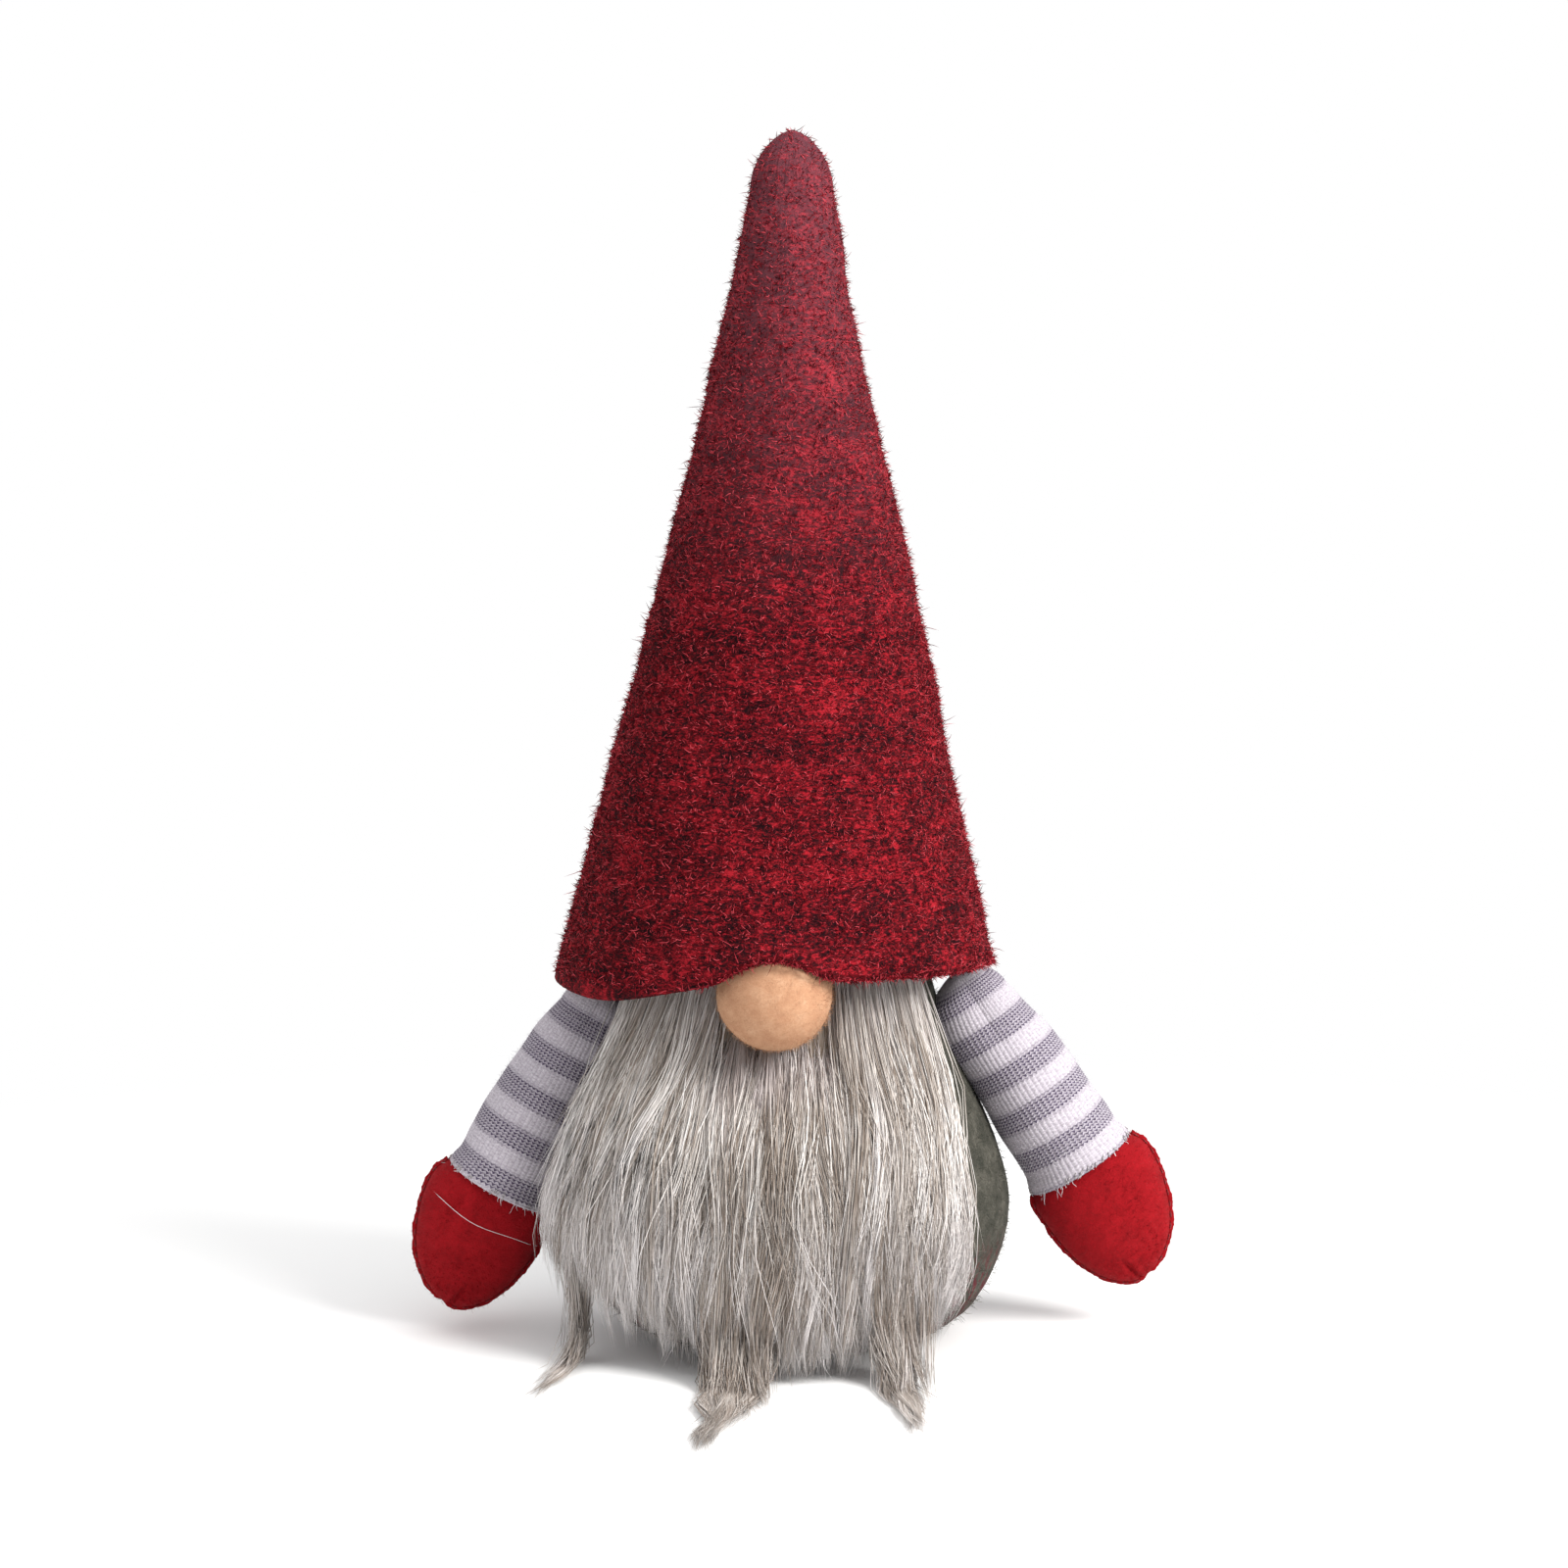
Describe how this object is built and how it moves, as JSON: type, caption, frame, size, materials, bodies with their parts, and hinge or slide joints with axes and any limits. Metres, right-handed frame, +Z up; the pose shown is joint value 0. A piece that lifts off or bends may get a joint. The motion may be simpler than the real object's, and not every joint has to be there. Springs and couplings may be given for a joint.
{
  "type": "tomte gnome figurine",
  "caption": "Stuffed felt gnome that stands on a weighted base, with a tall cone hat over its eyes, a ball nose, a long fur beard and two hanging knit arms with mittens.",
  "frame": {"origin": "centre of the round base, on the table", "axes": "+Z up along the hat, -Y the gnome's front, +X the viewer's right"},
  "size_m": [0.1587, 0.1418, 0.248],
  "materials": {
    "body_felt": "matte",
    "thread": "matte",
    "hat_thread": "matte",
    "base_card": "matte",
    "cotton": "matte",
    "sand": "matte",
    "fibre_fill": "matte",
    "fur_backing": "matte",
    "beard_fur": "satin",
    "nose_felt": "matte",
    "hat_felt": "matte",
    "sleeve_knit": "matte",
    "mitten_felt": "matte"
  },
  "bodies": {
    "torso": {"body_shell": "body_felt", "base_disc": "body_felt", "base_seam_thread": "thread", "base_board": "base_card", "sand_pouch": "cotton", "sand": "sand", "body_stuffing": "fibre_fill", "gather_thread": "thread", "body_seam_stitches": "thread", "beard_backing": "fur_backing", "beard_stitches": "thread", "beard_pile": "beard_fur", "beard_tips": "beard_fur", "nose_ball": "nose_felt", "nose_thread": "thread", "hat_lower": "hat_felt", "hat_stuffing_lower": "fibre_fill", "hat_bend_zone": "hat_felt", "hat_stuffing_bend_zone": "fibre_fill", "hat_tacking_stitches": "thread", "hat_seam_stitches": "hat_thread"},
    "hat_top": {"hat_tip": "hat_felt", "hat_stuffing_tip": "fibre_fill"},
    "left_shoulder": {"left_shoulder_thread": "thread"},
    "left_arm": {"left_sleeve": "sleeve_knit", "left_arm_stuffing": "fibre_fill", "left_cuff_thread": "thread", "left_mitten_front": "mitten_felt", "left_mitten_back": "mitten_felt", "left_mitten_stuffing": "fibre_fill"},
    "right_shoulder": {"right_shoulder_thread": "thread"},
    "right_arm": {"right_sleeve": "sleeve_knit", "right_arm_stuffing": "fibre_fill", "right_cuff_thread": "thread", "right_mitten_front": "mitten_felt", "right_mitten_back": "mitten_felt", "right_mitten_stuffing": "fibre_fill"}
  },
  "joints": [
    {"name": "left_shoulder_swing", "type": "hinge", "parent": "torso", "child": "left_shoulder", "pos_m": [-0.0411, 0, 0.0661], "axis": [-1, 0, 0], "range_deg": [-45, 60]},
    {"name": "left_shoulder_lift", "type": "hinge", "parent": "left_shoulder", "child": "left_arm", "pos_m": [-0.0411, 0, 0.0661], "axis": [0, 1, 0], "range_deg": [0, 30]},
    {"name": "right_shoulder_swing", "type": "hinge", "parent": "torso", "child": "right_shoulder", "pos_m": [0.0382, 0, 0.0691], "axis": [-1, 0, 0], "range_deg": [-45, 60]},
    {"name": "right_shoulder_lift", "type": "hinge", "parent": "right_shoulder", "child": "right_arm", "pos_m": [0.0382, 0, 0.0691], "axis": [0, -1, 0], "range_deg": [0, 30]},
    {"name": "hat_bend", "type": "hinge", "parent": "torso", "child": "hat_top", "pos_m": [-0.00099, -0.00278, 0.16793], "axis": [0, 1, 0], "range_deg": [-45, 45], "stiffness_Nm_per_rad": 0.05, "deforming": ["hat_bend_zone", "hat_stuffing_bend_zone"]}
  ]
}
